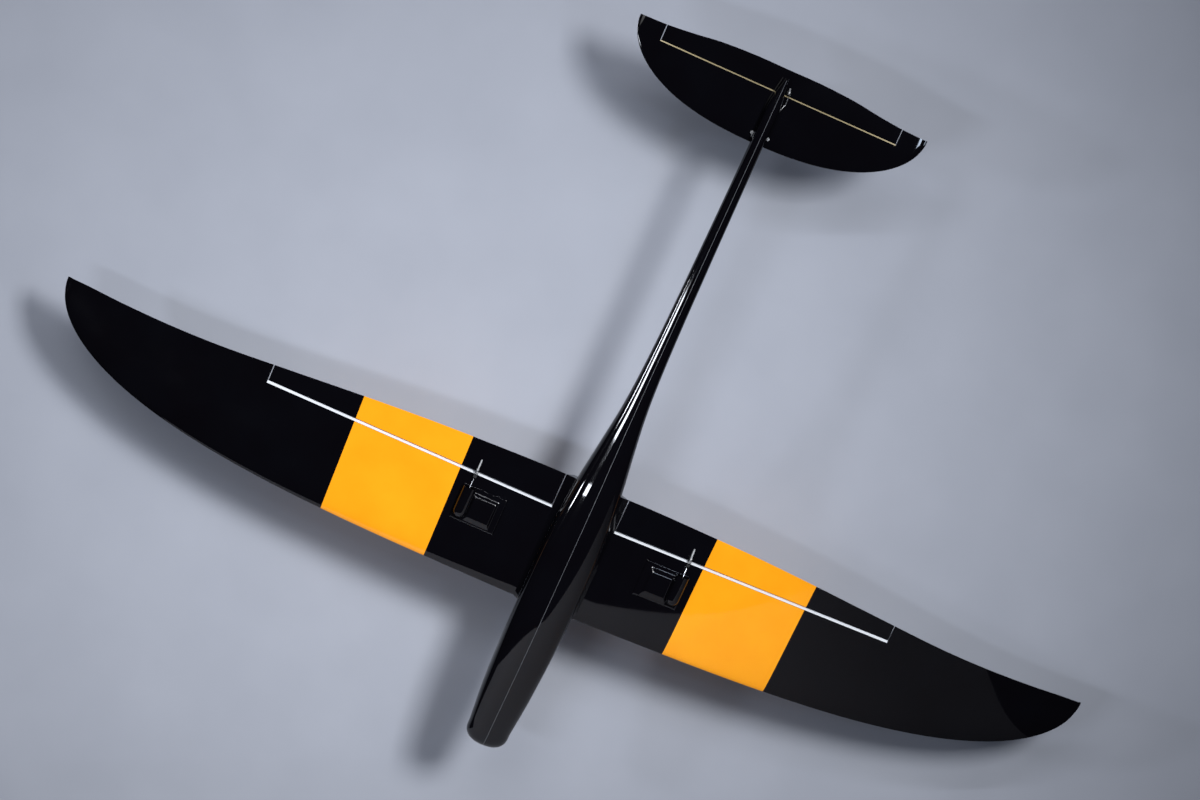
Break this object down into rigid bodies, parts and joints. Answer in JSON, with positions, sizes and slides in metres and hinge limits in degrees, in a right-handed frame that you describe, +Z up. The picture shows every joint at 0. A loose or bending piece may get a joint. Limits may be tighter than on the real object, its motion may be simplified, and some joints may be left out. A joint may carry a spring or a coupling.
{
  "type": "rc glider",
  "caption": "Moulded composite model glider with plug-in wing panels, servo-driven flaperons, a flat tailplane with elevator, and a fixed fin.",
  "frame": {"origin": "on the surface the belly rests on, below the middle of the glider's box", "axes": "+X to the pilot's left wing tip, +Y towards the tail, +Z up; the nose points to -Y"},
  "size_m": [1.2496, 0.8282, 0.1325],
  "materials": {
    "gelcoat": "gloss black gelcoat on a moulded composite skin, with an orange-yellow band on each wing half",
    "servo_cover_skin": "thin moulded cover in the same gloss black",
    "hinge_tape": "white woven hinge strip, matt",
    "elevator_tape": "beige woven hinge strip, matt",
    "moulded_nylon": "light grey moulded nylon, satin",
    "spring_steel": "drawn steel wire, bright",
    "carbon_rod": "pultruded carbon fibre rod, satin",
    "servo_case": "dark blue moulded nylon case, satin",
    "birch_plywood": "sanded birch plywood",
    "ballast_lead": "cast lead, dull grey",
    "battery_wrap": "blue heat-shrink sleeve",
    "receiver_case": "dark moulded case"
  },
  "bodies": {
    "airframe": {"fuselage_left_shell": "gelcoat", "fuselage_right_shell": "gelcoat", "nose_ballast": "ballast_lead", "battery_pack": "battery_wrap", "receiver": "receiver_case", "servo_tray": "birch_plywood", "elevator_servo": "servo_case", "wing_joiner": "carbon_rod", "wing_left": "gelcoat", "flaperon_hinge_strip_left": "hinge_tape", "servo_cover_left": "servo_cover_skin", "wing_servo_left": "servo_case", "wing_pin_front_left": "spring_steel", "wing_pin_rear_left": "spring_steel", "tail_screw_left": "spring_steel", "wing_right": "gelcoat", "flaperon_hinge_strip_right": "hinge_tape", "servo_cover_right": "servo_cover_skin", "wing_servo_right": "servo_case", "wing_pin_front_right": "spring_steel", "wing_pin_rear_right": "spring_steel", "tail_screw_right": "spring_steel", "stabiliser": "gelcoat", "elevator_hinge_strip": "elevator_tape", "fin": "gelcoat"},
    "canopy": {"canopy": "gelcoat"},
    "flaperon_left": {"flaperon_left": "gelcoat", "flaperon_horn_left": "moulded_nylon"},
    "servo_arm_left": {"wing_servo_arm_left": "moulded_nylon"},
    "pushrod_left": {"flaperon_pushrod_left": "spring_steel", "flaperon_clevis_left": "moulded_nylon"},
    "flaperon_right": {"flaperon_right": "gelcoat", "flaperon_horn_right": "moulded_nylon"},
    "servo_arm_right": {"wing_servo_arm_right": "moulded_nylon"},
    "pushrod_right": {"flaperon_pushrod_right": "spring_steel", "flaperon_clevis_right": "moulded_nylon"},
    "elevator": {"elevator": "gelcoat", "elevator_horn": "moulded_nylon"},
    "elevator_arm": {"elevator_servo_arm": "moulded_nylon"},
    "elevator_pushrod": {"elevator_pushrod": "spring_steel"}
  },
  "joints": [
    {"name": "canopy_lift", "type": "slide", "parent": "airframe", "child": "canopy", "axis": [0, 0, 1], "range_m": [0, 0.05]},
    {"name": "flaperon_left_hinge", "type": "hinge", "parent": "airframe", "child": "flaperon_left", "pos_m": [0.20956, -0.1327, 0.04655], "axis": [0.9979, 0, 0.0645], "range_deg": [-25, 25]},
    {"name": "servo_arm_left_turn", "type": "hinge", "parent": "airframe", "child": "servo_arm_left", "pos_m": [0.12397, -0.1667, 0.03741], "axis": [0.9979, 0, 0.0645], "range_deg": [-25, 25]},
    {"name": "pushrod_left_pivot", "type": "hinge", "parent": "servo_arm_left", "child": "pushrod_left", "pos_m": [0.12655, -0.1627, 0.02856], "axis": [0.9979, 0, 0.0645], "range_deg": [-25, 25]},
    {"name": "flaperon_right_hinge", "type": "hinge", "parent": "airframe", "child": "flaperon_right", "pos_m": [-0.20956, -0.1327, 0.04655], "axis": [0.9979, 0, -0.0645], "range_deg": [-25, 25]},
    {"name": "servo_arm_right_turn", "type": "hinge", "parent": "airframe", "child": "servo_arm_right", "pos_m": [-0.12397, -0.1667, 0.03741], "axis": [0.9979, 0, -0.0645], "range_deg": [-25, 25]},
    {"name": "pushrod_right_pivot", "type": "hinge", "parent": "servo_arm_right", "child": "pushrod_right", "pos_m": [-0.12655, -0.1627, 0.02856], "axis": [0.9979, 0, -0.0645], "range_deg": [-25, 25]},
    {"name": "elevator_hinge", "type": "hinge", "parent": "airframe", "child": "elevator", "pos_m": [0, 0.385, 0.0205], "axis": [1, 0, 0], "range_deg": [-20, 20]},
    {"name": "elevator_arm_turn", "type": "hinge", "parent": "airframe", "child": "elevator_arm", "pos_m": [-0.002, -0.233, 0.022], "axis": [1, 0, 0], "range_deg": [-20, 20]},
    {"name": "elevator_pushrod_pivot", "type": "hinge", "parent": "elevator_arm", "child": "elevator_pushrod", "pos_m": [-0.003, -0.228, 0.013], "axis": [1, 0, 0], "range_deg": [-20, 20]}
  ],
  "couplings": [
    {"joint": "servo_arm_left_turn", "follows": "flaperon_left_hinge", "ratio": 1},
    {"joint": "pushrod_left_pivot", "follows": "flaperon_left_hinge", "ratio": -1},
    {"joint": "servo_arm_right_turn", "follows": "flaperon_right_hinge", "ratio": 1},
    {"joint": "pushrod_right_pivot", "follows": "flaperon_right_hinge", "ratio": -1},
    {"joint": "elevator_arm_turn", "follows": "elevator_hinge", "ratio": 1},
    {"joint": "elevator_pushrod_pivot", "follows": "elevator_hinge", "ratio": -1}
  ]
}
